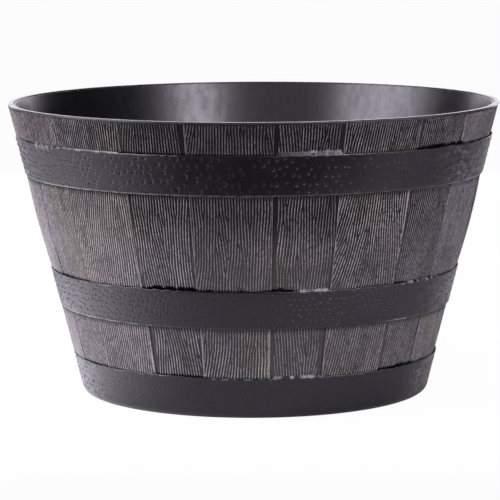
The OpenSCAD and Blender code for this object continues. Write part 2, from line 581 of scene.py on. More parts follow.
def smooth_plastic(name, colour, roughness, skin_scale, skin_depth, flow=0.05, gloss=0.5, wobble=0.0):
    """Plain moulded plastic with a fine skin, faint flow marks and a surface that is not quite even."""
    shader = Shader(bpy.data.materials.new(name))
    skin = shader.noise(scale=skin_scale, detail=2.0, roughness=0.5)
    marks = shader.noise(scale=26.0, detail=4.0, roughness=0.6, upright=0.35)
    streaks = shader.noise(scale=150.0, detail=3.0, roughness=0.6, upright=0.6)
    waves = shader.noise(scale=45.0, detail=2.0, roughness=0.5, upright=0.8)
    mottled = shader.times(shader.math("ADD", marks, streaks), 0.5)
    uneven = shader.bump(waves, distance=wobble, strength=1.0)
    shader.fill(
        shader.surface,
        Base_Color=shader.mix(shader.fit(marks, (0.3, 0.75)), opaque(colour), opaque(colour, 1.5)),
        Roughness=shader.fit(mottled, (0.35, 0.65), (roughness - flow, roughness + flow)),
        Normal=shader.bump(skin, distance=skin_depth, strength=0.5, Normal=uneven),
        Specular_IOR_Level=shader.fit(mottled, (0.35, 0.65), (gloss * (1 + flow), gloss * (1 - 3 * flow))),
    )
    return shader.block


# The grain of the staves

# Lean of the grain in degrees, to the right going up, of the staves in the front. Each stave has a row for
# the bottom, the lower middle, the upper middle and the top, and each row goes from left to right.
GRAIN_LEANS = {
    "wide_stave_01": ((13, 4, -2), (8, 0, 1), (0, 0, 2), (11, 3, -9)),
    "narrow_stave_01": ((-10, -8, 4), (-6, 3, 3), (5, 0, -9), (-6, 0, 8)),
    "wide_stave_02": ((4, 7, 4), (11, 0, -6), (13, -2, -9), (6, 8, 3)),
    "narrow_stave_02": ((4, 6, 8), (0, 5, 9), (2, 6, 8), (5, 4, 0)),
    "narrow_stave_10": ((4, -4, -9), (0, -2, 0), (-2, 0, 4), (9, 5, -2)),
    "wide_stave_10": ((8, 4, 2), (10, 6, 1), (12, 8, 4), (-3, 2, -3)),
}
LEAN_HEIGHTS = (0.21, 0.5, 0.7, 0.95)
LEAN_SIDES = (-0.75, 0.0, 0.75)
# In degrees: deviation and limit of a random lean, greatest lean that grows, and step between two filters
USUAL_LEAN = 6
RANDOM_LEAN = 13
MOST_LEAN = 20
LEAN_STEP = 5
# Radius of the face at which the grain fans out just as the sides of a stave do
FAN_RADIUS = 0.17
# Size in height and width of the places where the grain wanders to one side
WAVE_SIZE = (13 * MM, 8 * MM)
GROWTH_PASSES = 12
GRAIN_STEP = 0.37 * MM
GRAIN_STEPS = (GRAIN_STEP, GRAIN_STEP)
# How freely the spacing and the length of the ridges vary, and how hard they stand out
SPACING_SPREAD = 0.04
LENGTH_SPREAD = 0.02
CONTRAST = 2.6


def grain_leans(node, rng):
    """The leans of a stave: as listed, or at random for a stave that isn't in the front."""
    if node in GRAIN_LEANS:
        return np.array(GRAIN_LEANS[node], float)
    leans = rng.normal(0, USUAL_LEAN, (len(LEAN_HEIGHTS), len(LEAN_SIDES)))
    return np.clip(leans, -RANDOM_LEAN, RANDOM_LEAN)


def lean_field(leans, shape, width, slope, rng, wave):
    """Lean of the grain at every place of a stave, in radians."""
    rows, cols = shape
    up = np.linspace(0, 1, rows)
    across = np.linspace(-1, 1, cols)
    by_side = np.stack([np.interp(up, LEAN_HEIGHTS, column) for column in leans.T], axis=1)
    field = np.stack([np.interp(across, LEAN_SIDES, row) for row in by_side])
    fan = across[None, :] * width / 2 * slope / FAN_RADIUS
    return np.radians(field) + fan + wave * soft_noise(rng, shape, GRAIN_STEPS, WAVE_SIZE)


def grow_grain(leans, pitch, rng):
    """Ridges from 0 to 1 that follow the leans, grown out of noise by filters that each pass one lean."""
    shape = leans.shape
    fz = np.fft.fftfreq(shape[0], GRAIN_STEP)[:, None] * pitch
    fx = np.fft.rfftfreq(shape[1], GRAIN_STEP)[None, :] * pitch
    filters = []
    weights = []
    for degrees in range(-MOST_LEAN, MOST_LEAN + 1, LEAN_STEP):
        lean = math.radians(degrees)
        across = np.abs(fx * math.cos(lean) - fz * math.sin(lean))
        along = fx * math.sin(lean) + fz * math.cos(lean)
        filters.append(np.exp(-((across - 1) ** 2) / SPACING_SPREAD - along**2 / LENGTH_SPREAD))
        weights.append(np.clip(1 - np.abs(leans - lean) / math.radians(LEAN_STEP), 0, 1))
    ridges = rng.standard_normal(shape)
    for _ in range(GROWTH_PASSES):
        waves = np.fft.rfft2(ridges)
        ridges = sum(w * np.fft.irfft2(waves * f, s=shape) for w, f in zip(weights, filters))
        ridges = np.tanh(CONTRAST * ridges / ridges.std())
    return 0.5 + 0.5 * ridges


HOOPS = ("bottom_hoop", "middle_hoop", "top_hoop")
# Each row of the next four tables has a value for each of these heights, and lists a front stave. In the
# first three, a stave that isn't listed has the first row.
COAT_HEIGHTS = (0.05, 0.115, 0.136, 0.16, 0.22)
# Share of paint, with painted light and shade in it: it falls toward the top and on the front staves' tops as
# painted shade where less light reaches, and rises on the staves where more light falls, as at the left end,
# as painted light
STAVE_COATS = {
    "": (1.1, 1.1, 0.95, 0.75, 0.65),
    "narrow_stave_08": (0.9, 0.9, 1.0, 1.0, 0.9),
    "wide_stave_09": (1.1, 1.2, 1.3, 1.3, 0.95),
    "narrow_stave_09": (1.35, 1.5, 1.6, 1.6, 1.1),
    "wide_stave_10": (1.25, 1.35, 1.35, 1.1, 0.75),
    "narrow_stave_10": (1.3, 1.5, 1.15, 0.85, 0.45),
    "wide_stave_01": (1.0, 0.7, 0.75, 0.5, 0.45),
    "narrow_stave_01": (0.9, 0.72, 1.1, 0.7, 0.65),
    "wide_stave_02": (1.0, 1.15, 1.5, 1.6, 0.8),
    "narrow_stave_02": (0.9, 0.9, 0.75, 0.95, 0.9),
    "wide_stave_03": (1.0, 1.0, 1.1, 1.1, 1.1),
}
# Share of paint that lightens the valleys: a haze of paint, with painted light from the floor that grows
# toward the bottom; it is greater on the staves at both ends
HAZES = {
    "": (0.08, 0.07, 0.055, 0.0, 0.0),
    "narrow_stave_08": (0.38, 0.38, 0.38, 0.3, 0.25),
    "wide_stave_09": (0.33, 0.33, 0.3, 0.2, 0.15),
    "narrow_stave_09": (0.25, 0.25, 0.25, 0.15, 0.05),
    "wide_stave_10": (0.15, 0.12, 0.14, 0.08, 0.0),
    "wide_stave_03": (0.16, 0.16, 0.22, 0.2, 0.2),
}
# How warm the paint is, from -1 to 1
STAVE_WARMTHS = {
    "": (0.0, 0.0, 0.0, 0.3, 0.0),
    "wide_stave_09": (-0.3, 0.0, 0.2, 1.0, 0.2),
    "narrow_stave_09": (-0.4, 0.0, 0.0, 0.6, 0.5),
    "wide_stave_10": (0.2, 0.0, 0.0, 0.6, 0.0),
    "narrow_stave_10": (-0.2, 0.0, -0.2, 0.2, -0.2),
    "wide_stave_01": (-0.5, 0.0, 0.0, 0.4, 0.0),
    "narrow_stave_01": (-1.0, -0.3, 0.0, 0.0, -0.3),
    "wide_stave_02": (0.0, -0.2, 0.2, 1.0, -0.2),
    "narrow_stave_02": (-0.5, -0.6, -0.6, -0.6, -1.0),
    "wide_stave_03": (-0.8, -0.8, -1.0, -1.0, -1.0),
}
# Widths in mm of the smooth strips along the left and the right side
STRIPS = {
    "narrow_stave_08": (5 * (0.8,), 5 * (0.8,)),
    "wide_stave_09": (5 * (0.5,), (1.0, 0.5, 0.4, 0.4, 0.4)),
    "narrow_stave_09": (5 * (0.8,), 5 * (0.6,)),
    "wide_stave_10": ((1.0, 0.4, 0.4, 0.4, 0.4), (1.3, 0.8, 0.7, 0.7, 0.8)),
    "narrow_stave_10": ((3.6, 1.6, 1.3, 1.2, 1.5), (0.5, 0.5, 0.5, 0.5, 3.4)),
    "wide_stave_01": ((1.2, 1.0, 0.9, 1.0, 1.5), (2.2, 0.9, 0.9, 0.9, 0.7)),
    "narrow_stave_01": ((2.8, 3.1, 3.1, 3.1, 2.9), (4.2, 2.4, 1.0, 0.5, 3.3)),
    "wide_stave_02": ((0.9, 0.6, 0.6, 0.6, 0.9), (0.9, 0.8, 0.9, 1.7, 0.9)),
    "narrow_stave_02": ((3.1, 1.8, 1.6, 1.6, 2.8), (0.9, 0.9, 0.9, 0.9, 1.1)),
    "wide_stave_03": (5 * (0.5,), 5 * (0.8,)),
}
# Height in mm of the dark gap over each hoop, by turn in degrees: a shallow recess, with its paint and gloss
# taken off as painted shade
BARE_ABOVE = {
    "bottom_hoop": (
        (-90, -45, -42, -33, -31, -26, -17, -15, 40, 41, 50, 57, 59, 90),
        (0.2, 0.2, 0.1, 0.1, 0.3, 0.7, 0.7, 0.0, 0.0, 1.1, 1.9, 1.6, 0.5, 0.4),
    ),
    "middle_hoop": (
        (-90, -60, -58, -32, -31, -26, -17, -15, 4, 5, 9, 11, 40, 41, 60, 90),
        (0.5, 0.8, 0.3, 0.3, 0.6, 2.6, 2.6, 0.9, 0.9, 2.2, 2.2, 0.1, 0.1, 1.0, 0.7, 0.5),
    ),
    "top_hoop": (
        (-90, -16, -15, 4, 5, 40, 41, 48, 57, 59, 90),
        (0.2, 0.3, 0.4, 0.4, 0.2, 0.2, 1.3, 1.9, 2.0, 0.5, 0.3),
    ),
}
# That strip fades over this height either way
BARE_FADE = 0.5 * MM
# Painted shadow under a hoop: share of the paint taken away below it, and how far below it this starts and is
# full
LOST_BELOW = 0.75
LOSS_REACH = (5 * MM, 0.5 * MM)
# How far a face sinks behind a hoop and in the gap over one, and how far its sides reach into the joints
UNDER_HOOPS = 1.0 * MM
HOOP_SLOPE = (0.5 * MM, 2.5 * MM)
GAP_DEPTH = 0.5 * MM
JOINT_CLOSE = 0.2 * MM
# Height, width and depth of a stave's slow swells. Then the same of what makes its edges ragged, and the
# share by which that changes the shaded gaps over the hoops.
SWELL_SIZE = (45 * MM, 18 * MM)
SWELL_DEPTH = 0.1 * MM
RAGGED_SIZE = (7 * MM, 3 * MM)
RAGGED_DEPTH = 0.2 * MM
RAGGED_SHARE = 0.2
# Narrowest and widest strip of a narrow stave in the back, as shares of the usual border
BORDER_RANGE = (0.2, 1.3)
# Share of a ridge's height that lies below the face of the solid
RIDGES_SUNK = 0.6
# How far the grain fades out into a strip and how far it takes to stand out beside one
STRIP_FADE = (0.3 * MM, 0.4 * MM)
# How far within its cone a place still belongs to the face of a stave
FACE_SLACK = 0.2 * MM
# What a warmth of 1 adds to the pattern that mixes the two paints
WARMTH_SHIFT = 0.13
NARROW_SEEDS = 50
STAVE_ROWS = 160
STAVE_STEPS = 8
WIDE_COLUMNS = 184
NARROW_COLUMNS = 152


def by_turn(table, hoop, turn):
    """Values of a hoop's table at some turns."""
    return np.interp(np.degrees(turn), *table[hoop])


def by_height(table, stave, z):
    """Values of a stave's table at some heights."""
    return np.interp(z, COAT_HEIGHTS, table.get(stave, table[""]))


def bare_places(turn, z, ragged):
    """How much paint a place of a stave keeps beside the painted shadow under each hoop and the painted shade
    of the gap over one, and how deep it lies in that gap.
    """
    kept = np.ones_like(z)
    gap = np.zeros_like(z)
    for hoop in HOOPS:
        low, high = levels(hoop)
        bare_high = high + MM * by_turn(BARE_ABOVE, hoop, turn) * (1 + RAGGED_SHARE * ragged)
        bare = 1 - smooth_step(bare_high - BARE_FADE, bare_high + BARE_FADE, z)
        gap = np.maximum(gap, np.where(z > low, bare, 0))
        # Painted shadow under each hoop, made by taking paint away
        below = smooth_step(low - LOSS_REACH[0], low - LOSS_REACH[1], z)
        kept *= np.where(z < high, 1 - LOST_BELOW * below, 1)
    return kept * (1 - gap), gap


def strip_widths(node, right, z, settings, rng):
    """Width of the smooth strip along a stave's sides: as listed, or at random for one in the back."""
    if node in STRIPS:
        left_width, right_width = (MM * np.interp(z, COAT_HEIGHTS, row) for row in STRIPS[node])
    elif node.startswith("wide"):
        left_width = right_width = settings.edge
    else:
        left_width, right_width = settings.border * rng.uniform(*BORDER_RANGE, 2)
    return np.where(right, right_width, left_width)


def make_stave(node, columns, material, settings, seed):
    """One stave: the slab of the solid with grain, border strips and rounded edges on its face."""
    rng = np.random.default_rng(seed)
    low, high, inner, outer = stave_faces(node)
    middle, span = stave_span(node)
    slab = [(inner(low), low), (outer(low), low), (outer(high), high), (inner(high), high)]
    bm = new_profile(slab, middle - span / 2)
    spin_finely(bm, span, STAVE_STEPS, columns // STAVE_STEPS - 1)
    split_edge(bm, face_test(low, high, inner, outer), STAVE_ROWS - 1)
    piece = finish_piece(bm, node + "_grain", BODY, material, [node])

    radius, z, turn = ring_coordinates(piece.data)
    offset = turn_from(middle, turn)
    x = offset * outer(z)
    width = span * outer(high)
    shape = tuple(2 * round(side / GRAIN_STEP / 2) for side in (high - low, width))
    at = ((z - low) / GRAIN_STEP, (x + width / 2) / GRAIN_STEP)
    leans = lean_field(grain_leans(node, rng), shape, width, outer.slope, rng, settings.wave)
    ridge = sample(grow_grain(leans, settings.pitch, rng), *at)
    swell = sample(soft_noise(rng, shape, GRAIN_STEPS, SWELL_SIZE), *at)
    ragged = sample(soft_noise(rng, shape, GRAIN_STEPS, RAGGED_SIZE), *at)

    to_joint = span / 2 * outer(z) - np.abs(x)
    strip = strip_widths(node, x > 0, z, settings, rng) + RAGGED_DEPTH * ragged
    grained = smooth_step(strip - STRIP_FADE[0], strip + STRIP_FADE[1], to_joint)
    drop = 0 if node.startswith("wide") else settings.border_drop
    relief = grained * settings.depth * (ridge - RIDGES_SUNK) - (1 - grained) * drop
    relief += SWELL_DEPTH * swell
    bow_low, bow_high = levels("middle_hoop")[1], levels("top_hoop")[0]
    relief += stave_bow(node, outer) * np.sin(math.pi * np.clip((z - bow_low) / (bow_high - bow_low), 0, 1))
    relief -= rounded_edge(to_joint, depth=0.4 * MM, reach=0.6 * MM)
    for hoop in HOOPS:
        hoop_low, hoop_high = levels(hoop)
        relief -= UNDER_HOOPS * smooth_step(*HOOP_SLOPE, np.minimum(z - hoop_low, hoop_high - z))
    # Painted shadow under the hoops and painted shade in the shallow gaps over them
    kept, gap = bare_places(turn, z, ragged)
    relief -= GAP_DEPTH * gap
    on_outside = radius > outer(z) - FACE_SLACK
    radius = np.where(on_outside, outer(z) + relief, radius)
    offset += JOINT_CLOSE / outer(z) * offset / (span / 2)
    put_ring_coordinates(piece.data, radius, middle + offset, z)
    add_attributes(
        piece.data,
        ridge=np.where(on_outside, grained * ridge, 0),
        strip=np.where(on_outside, 1 - grained, 0),
        gap=gap,
        coat=kept * by_height(STAVE_COATS, node, z),
        haze=kept * by_height(HAZES, node, z),
        warmth=WARMTH_SHIFT * by_height(STAVE_WARMTHS, node, z),
    )


class PLANTER_OT_staves(bpy.types.Operator):
    """Model the proud and the sunk staves with their grain"""

    bl_idname = "planter.staves"
    bl_label = "Staves"

    def execute(self, context):
        settings = context.scene.planter_grain
        seed = context.scene.planter_stage.seed
        # The sunk narrow staves get a darker copy with almost bare strips: painted shade of the sunk faces
        wide = stave_material("wide_stave", settings, tone=1.0, strip_paint=0.8)
        narrow = stave_material("narrow_stave", settings, tone=0.9, strip_paint=0.05)
        for n in range(1, PAIRS + 1):
            node = f"wide_stave_{n:02d}"
            make_stave(node, WIDE_COLUMNS, wide, settings, seed + n)
            node = f"narrow_stave_{n:02d}"
            make_stave(node, NARROW_COLUMNS, narrow, settings, seed + NARROW_SEEDS + n)
        return {"FINISHED"}


# The hoops

# Ledges over a hoop's upper edge: two turns in degrees, the height at each and the share of paint at each
LEDGES = {
    "bottom_hoop": ((5, 20.5, 1.3 * MM, 1.3 * MM, 0.08, 0.1),),
    "middle_hoop": ((10, 20.5, 1.0 * MM, 1.5 * MM, 0.06, 0.25), (45, 61, 0.6 * MM, 0.6 * MM, 0.05, 0.05)),
    "top_hoop": (
        (-66, -53, 1.0 * MM, 0.8 * MM, 0.5, 0.4),
        (-55, -32, 0.6 * MM, 0.5 * MM, 0.1, 0.06),
        (4.5, 13, 2.4 * MM, 3.0 * MM, 0.0, 0.2),
        (11, 20.5, 3.0 * MM, 3.2 * MM, 0.2, 0.9),
    ),
}
# How far the paint is rubbed off along a hoop's upper edge, by turn in degrees
TOP_WEAR = {
    "bottom_hoop": ((-90, -33, -30, 4, 20, 36, 40, 60, 62), (0.2, 0.25, 0.45, 0.38, 0.3, 0.2, 0.0, 0.0, 0.2)),
    "middle_hoop": ((-90, -40, -34, 10, 12, 38, 45, 60, 62), (0.4, 0.4, 0.0, 0.0, 0.35, 0.25, 0.7, 0.7, 0.2)),
    "top_hoop": (
        (-90, -66, -64, -54, -51, -32, -17, -14, 5, 20, 30, 38, 60, 90),
        (0.0, 0.0, 0.65, 0.55, 0.3, 0.35, 0.4, 0.0, 0.0, 0.6, 0.4, 0.0, 0.0, 0.2),
    ),
}
# How far in mm that wear reaches down
TOP_REACH = {
    "bottom_hoop": ((0,), (0.9,)),
    "middle_hoop": ((0,), (0.9,)),
    "top_hoop": ((-66, -63, -54, -51), (0.9, 2.8, 2.0, 0.8)),
}
# The same wear along the lower edge, by turn in degrees, and how far up it reaches
LOW_WEAR = {
    "bottom_hoop": ((0,), (0.0,)),
    "middle_hoop": ((-90, -45, -33, -20, 36, 42, 48, 50), (0.8, 0.7, 0.4, 0.15, 0.05, 1.2, 1.2, 0.2)),
    "top_hoop": ((-90, -50, -35, 20, 40, 60, 90), (0.8, 0.8, 0.5, 0.35, 0.15, 0.25, 0.3)),
}
LOW_REACH = 0.9 * MM
# Rubbed paint over the whole face of a hoop, by turn in degrees
SCUFFS = {
    "bottom_hoop": ((-90, -62, -50, 52, 66, 90), (0.08, 0.05, 0.0, 0.0, 0.09, 0.12)),
    "middle_hoop": ((-90, -65, -50, 50, 62, 90), (0.06, 0.04, 0.0, 0.0, 0.07, 0.1)),
    "top_hoop": ((-90, -60, 46, 58, 90), (0.0, 0.0, 0.0, 0.09, 0.14)),
}
# Turns in degrees between which the dents of a hoop have one spacing
DENT_ZONES = {
    "bottom_hoop": ((-180, 180, 4.6 * MM),),
    "middle_hoop": ((-180, 180, 4.6 * MM),),
    "top_hoop": ((-180, -40, 4.8 * MM), (-40, 180, 6.1 * MM)),
}
# By turn in degrees: size and depth of the dents, and strength and direction of the painted highlight on the
# lip of each, turned to where the light comes from
DENT_TURNS = (-90, -60, -35, -28, 0, 14, 40, 50, 90)
DENT_SIZES = {
    "bottom_hoop": (0.6, 0.6, 0.6, 0.55, 0.4, 0.35, 0.4, 0.5, 0.6),
    "middle_hoop": (0.6, 0.65, 0.7, 0.65, 0.45, 0.4, 0.4, 0.5, 0.6),
    "top_hoop": (0.65, 0.65, 0.75, 0.95, 0.95, 0.5, 0.4, 0.5, 0.65),
}
DENT_DEPTHS = {
    "bottom_hoop": (1.0, 1.1, 1.0, 0.8, 0.4, 0.4, 0.4, 0.8, 1.1),
    "middle_hoop": (0.8, 1.1, 1.6, 1.4, 0.6, 0.5, 0.5, 1.0, 1.2),
    "top_hoop": (2.0, 2.0, 1.4, 0.9, 0.7, 0.8, 0.7, 1.0, 1.4),
}
LIP_LIGHTS = {
    "bottom_hoop": (0.1, 0.1, 0.05, 0.03, 0.15, 0.2, 0.15, 0.1, 0.1),
    "middle_hoop": (0.1, 0.1, 0.05, 0.03, 0.12, 0.9, 0.5, 0.15, 0.15),
    "top_hoop": (0.5, 0.4, 0.2, 0.12, 0.16, 0.9, 0.5, 0.2, 0.2),
}
LIP_AIMS = (-130, -130, -60, -45, -40, -80, -95, -95, -95)
# How far a dent strays from its place in shares of the spacing, and share of the places without a dent
DENT_STRAY = 0.3
DENTS_LEFT_OUT = 0.12
# How far from its middle a dent is worked out, and what counts as far from every dent, in dent radii
DENT_REACH = 1.6
FAR_OFF = 2.0
# Share of a dent's depth at which its floor lies, what its tilt adds to that, and the height of its lip
BOWL = 0.65
BOWL_TILT = 0.35
LIP_HEIGHT = 0.45
LIP_SPREAD = 0.08
HOOP_ROWS = {"bottom_hoop": 36, "middle_hoop": 46, "top_hoop": 46}
HOOP_STEPS = 1900
HOOP_CUTS = 19
# Sizes in height and length of what varies along a hoop: its swell, its edges, a ledge's paint, its scuffs
HOOP_NOISES = ((20 * MM, 30 * MM), (60 * MM, 3.5 * MM), (60 * MM, 2.2 * MM), (1.6 * MM, 3.6 * MM))
HOOP_SWELL = 0.07 * MM
LEDGE_END = math.radians(0.8)
# How far below its upper edge a hoop starts to turn into a ledge, and how far the edge wanders down
EDGE_ZONE = 1.6 * MM
EDGE_WANDER = 0.3 * MM
# How far from a hoop's edges its dents fade in
DENTS_FROM = (0.8 * MM, 2.2 * MM)
# How far past its joints a stave still carries a ledge
JOINT_SLACK = math.radians(0.3)
TOE_STEPS = 10
HOOP_SEEDS = 100


def hammer_places(zones, rows, cols, step, rng):
    """Row, column and turn in degrees of every dent of a hoop that is unrolled."""
    for first, last, spacing in zones:
        down = max(1, round(rows * step[0] / spacing))
        around = round((last - first) / 360 * cols * step[1] / spacing)
        for row in range(down):
            for col in range(around):
                z = (row + 0.5 + rng.uniform(-DENT_STRAY, DENT_STRAY)) / down * rows
                along = col + 0.5 * (row % 2) + rng.uniform(-DENT_STRAY, DENT_STRAY)
                turn = first + along / around * (last - first)
                if rng.random() > DENTS_LEFT_OUT:
                    yield z, turn / 360 * cols, turn


def dent_fields(node, shape, step, settings, rng):
    """Relief of the dents over a hoop that is unrolled, the way to the nearest and the painted highlight on
    its lip.
    """
    rows, cols = shape
    relief = np.zeros(shape)
    nearest = np.full(shape, FAR_OFF)
    lights = np.zeros(shape)
    reach_rows, reach_cols = (math.ceil(DENT_REACH * settings.dent_radius / size) for size in step)
    tables = (DENT_SIZES[node], DENT_DEPTHS[node], LIP_LIGHTS[node], LIP_AIMS)
    for z, x, turn in hammer_places(DENT_ZONES[node], rows, cols, step, rng):
        size, depth, light, aim = (np.interp(turn, DENT_TURNS, table) for table in tables)
        radius = size * settings.dent_radius * rng.uniform(0.8, 1.15)
        depth *= settings.dent_depth * rng.uniform(0.6, 1.1)
        light *= rng.uniform(0.4, 1.0)
        aim = math.radians(aim + rng.uniform(-25, 25))
        zs = np.arange(max(0, int(z) - reach_rows), min(rows, int(z) + reach_rows + 2))
        xs = np.arange(int(x) - reach_cols, int(x) + reach_cols + 2)
        dz = (zs[:, None] - z) * step[0] / radius
        dx = (xs[None, :] - x) * step[1] / radius
        far = np.hypot(dz, dx)
        toward = (dx * math.cos(aim) + dz * math.sin(aim)) / np.maximum(far, 1e-6)
        bowl = -np.clip(1 - far**2, 0, 1) * (BOWL + BOWL_TILT * toward)
        lip = np.exp(-((far - LIP_WAY) ** 2) / LIP_SPREAD) * np.clip(toward, 0, 1)
        spot = np.ix_(zs, xs % cols)
        relief[spot] += depth * (bowl + LIP_HEIGHT * lip)
        lights[spot] = np.where(far < nearest[spot], light * smooth_step(0.1, 0.9, toward), lights[spot])
        nearest[spot] = np.minimum(nearest[spot], far)
    return relief, nearest, lights


def hoop_cones(node):
    """Heights of a hoop with the cones of its inner and outer face, which slope as the staves do."""
    low, high = levels(node)
    slope = stave_faces("wide_stave_01")[3].slope
    inner = level_radii(node, high)[0]
    return low, high, Cone(high, inner, slope), Cone(high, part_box(node)[1].x, slope)


def toe_outline(inner, outer, corner):
    """Points of the bottom hoop's rounded toe, from inside under the staves out to its face."""
    toe_top = levels("wide_stave_01")[0]
    toe_in = Cone(toe_top, level_radii("bottom_hoop", toe_top)[0], inner.slope)
    centre = outer(corner) - corner * math.hypot(1, outer.slope)
    start = -math.acos((toe_in(0.0) - centre) / corner)
    angles = np.linspace(start, -math.atan(outer.slope), TOE_STEPS + 1)
    arc = [(centre + corner * math.cos(angle), corner + corner * math.sin(angle)) for angle in angles]
    return [(inner(toe_top), toe_top), (toe_in(toe_top), toe_top)] + arc


def ledge_shape(node, turn):
    """How far a hoop's upper edge runs up to the staves as a light ledge, and its paint, at every turn."""
    lift = np.zeros_like(turn)
    paint = np.zeros_like(turn)
    for first, last, *sizes in LEDGES[node]:
        span = (math.radians(first), math.radians(last))
        begun = smooth_step(span[0], span[0] + LEDGE_END, turn)
        here = begun * (1 - smooth_step(span[1] - LEDGE_END, span[1], turn))
        lift = np.maximum(lift, here * np.interp(turn, span, sizes[:2]))
        paint = np.maximum(paint, here * np.interp(turn, span, sizes[2:]))
    return lift, paint


def face_radius(turn, z):
    """Radius of the stave faces at any turn and height."""
    radius = np.zeros_like(turn)
    for node in (f"{kind}_stave_{n:02d}" for n in range(1, PAIRS + 1) for kind in ("wide", "narrow")):
        _, _, _, outer = stave_faces(node)
        middle, span = stave_span(node)
        here = np.abs(turn_from(middle, turn)) < span / 2 + JOINT_SLACK
        radius = np.where(here, outer(z), radius)
    return radius


def edge_wear(node, turn, z, low, high, uneven):
    """Paint rubbed off along a hoop's lower and along its upper edge."""
    low_line = (1 - smooth_step(0.0, LOW_REACH, z - low)) * by_turn(LOW_WEAR, node, turn)
    reach = MM * by_turn(TOP_REACH, node, turn) * varied(uneven, 0.5)
    top_line = smooth_step(high - 1.6 * reach, high - 0.4 * reach, z) * by_turn(TOP_WEAR, node, turn)
    return low_line * varied(uneven, 0.4, 0.3, 1.5), top_line * smooth_step(-1.0, 0.8, uneven)


def make_hoop(node, material, settings, seed):
    """One hoop: a thin conical band with dents, softened edges and a slightly uneven upper edge."""
    rng = np.random.default_rng(seed)
    low, high, inner, outer = hoop_cones(node)
    start = [(inner(low), low), (outer(low), low)]
    if node == "bottom_hoop":
        start = toe_outline(inner, outer, settings.toe_round)
        low = start[-1][1]
    face_rows = HOOP_ROWS[node]
    bm = new_profile(start + [(outer(high), high), (inner(high), high)])
    spin_finely(bm, FULL_TURN, HOOP_STEPS // HOOP_CUTS, HOOP_CUTS - 1)
    split_edge(bm, face_test(low, high, inner, outer), face_rows - 1)
    piece = finish_piece(bm, node + "_band", BODY, material, [node])

    radius, z, turn = ring_coordinates(piece.data)
    radius = off_chord(radius, turn, FULL_TURN * HOOP_CUTS / HOOP_STEPS)
    shape = (face_rows + 1, HOOP_STEPS)
    step = ((high - low) / face_rows, FULL_TURN * outer((low + high) / 2) / HOOP_STEPS)
    row = np.clip(np.round((z - low) / step[0]).astype(int), 0, face_rows)
    col = np.round(turn / FULL_TURN * HOOP_STEPS).astype(int) % HOOP_STEPS
    dents, nearest, lights = (field[row, col] for field in dent_fields(node, shape, step, settings, rng))
    swell, uneven, streak, scratch = (soft_noise(rng, shape, step, size)[row, col] for size in HOOP_NOISES)

    on_outside = (radius > (inner(z) + outer(z)) / 2) & (z > low - 0.01 * MM)
    to_edge = np.minimum(z - low, high - z)
    to_sharp = high - z if node == "bottom_hoop" else to_edge
    away = smooth_step(*DENTS_FROM, to_edge)
    relief = away * (dents + HOOP_SWELL * swell) - rounded_edge(to_sharp, depth=0.45 * MM, reach=1.1 * MM)
    radius = np.where(on_outside, outer(z) + relief, radius)
    near_top = smooth_step(high - EDGE_ZONE, high, z)
    lift, ledge_paint = ledge_shape(node, turn)
    lift *= varied(uneven, 0.08)
    on_ledge = np.where(on_outside, 0, near_top * np.clip(lift / MM, 0, 1))
    radius = np.where(on_ledge > 0, radius + on_ledge * (face_radius(turn, z + lift) - radius), radius)
    z = z + np.where(on_ledge > 0, lift, 0)
    z = z - near_top * (1 - on_ledge) * EDGE_WANDER * varied(uneven, 1.0)
    put_ring_coordinates(piece.data, radius, turn, z)

    low_line, top_line = edge_wear(node, turn, z, low, high, uneven)
    scuffs = by_turn(SCUFFS, node, turn) * varied(scratch, 1.2, 0, 4)
    on_face = np.maximum(np.maximum(low_line, top_line), scuffs)
    on_top = np.maximum(top_line, on_ledge * ledge_paint * varied(streak, 0.5, 0.2, 2))
    add_attributes(
        piece.data,
        worn=np.where(on_outside, on_face, on_top),
        dent_way=nearest,
        dent_light=np.where(on_outside, away * lights, 0),
    )


class PLANTER_OT_hoops(bpy.types.Operator):
    """Model the three dented hoops"""

    bl_idname = "planter.hoops"
    bl_label = "Hoops"

    def execute(self, context):
        settings = context.scene.planter_hoops
        material = hoop_material(settings, context.scene.planter_grain.cool_paint)
        seed = context.scene.planter_stage.seed + HOOP_SEEDS
        for number, node in enumerate(HOOPS):
            make_hoop(node, material, settings, seed + number)
        return {"FINISHED"}


# The rim ring, the pot and the plugs

RING_STEPS = 512
PLUG_STEPS = 48
KNOB_STEPS = 12
HOLE_SIDES = 64
# Lowest place of the pot's wall that is cut into rows, and the number of cuts
WALL_FROM = 0.03
WALL_CUTS = 40
# Keeps the round rim ring within the box of its solid
RIM_INSET = 0.02 * MM
# How deep a plug is hollow from below, and the share of its stem that the hollow takes
PLUG_HOLLOW = 2 * MM
HOLLOW_SHARE = 0.6


class PLANTER_OT_rim(bpy.types.Operator):
    """Model the rounded rim ring"""

    bl_idname = "planter.rim"
    bl_label = "Rim ring"

    def execute(self, context):
        low, high = levels("rim_ring")
        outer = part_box("rim_ring")[1].x - RIM_INSET
        radius, z, _ = places("rim_ring")
        bore = radius.min()
        tongue = level_radii("rim_ring", low)[1]
        ring_low = z[radius > (bore + outer) / 2].min()
        bm = new_profile(
            [(bore, low), (tongue, low), (tongue, ring_low), (outer, ring_low), (outer, high), (bore, high)]
        )

        def high_corner(place):
            return place.z > high - AT_CORNER

        def low_corner(place):
            return -place.y > outer - AT_CORNER and place.z < ring_low + AT_CORNER

        round_corners(bm, high_corner, radius=0.7 * MM, segments=5)
        round_corners(bm, low_corner, radius=0.5 * MM, segments=4)
        spin(bm, FULL_TURN, RING_STEPS)
        colour = context.scene.planter_pot.rim
        material = smooth_plastic("rim", colour, roughness=0.25, skin_scale=700.0, skin_depth=0.05 * MM)
        finish_piece(bm, "rim_ring_smooth", BODY, material, ["rim_ring"])
        return {"FINISHED"}


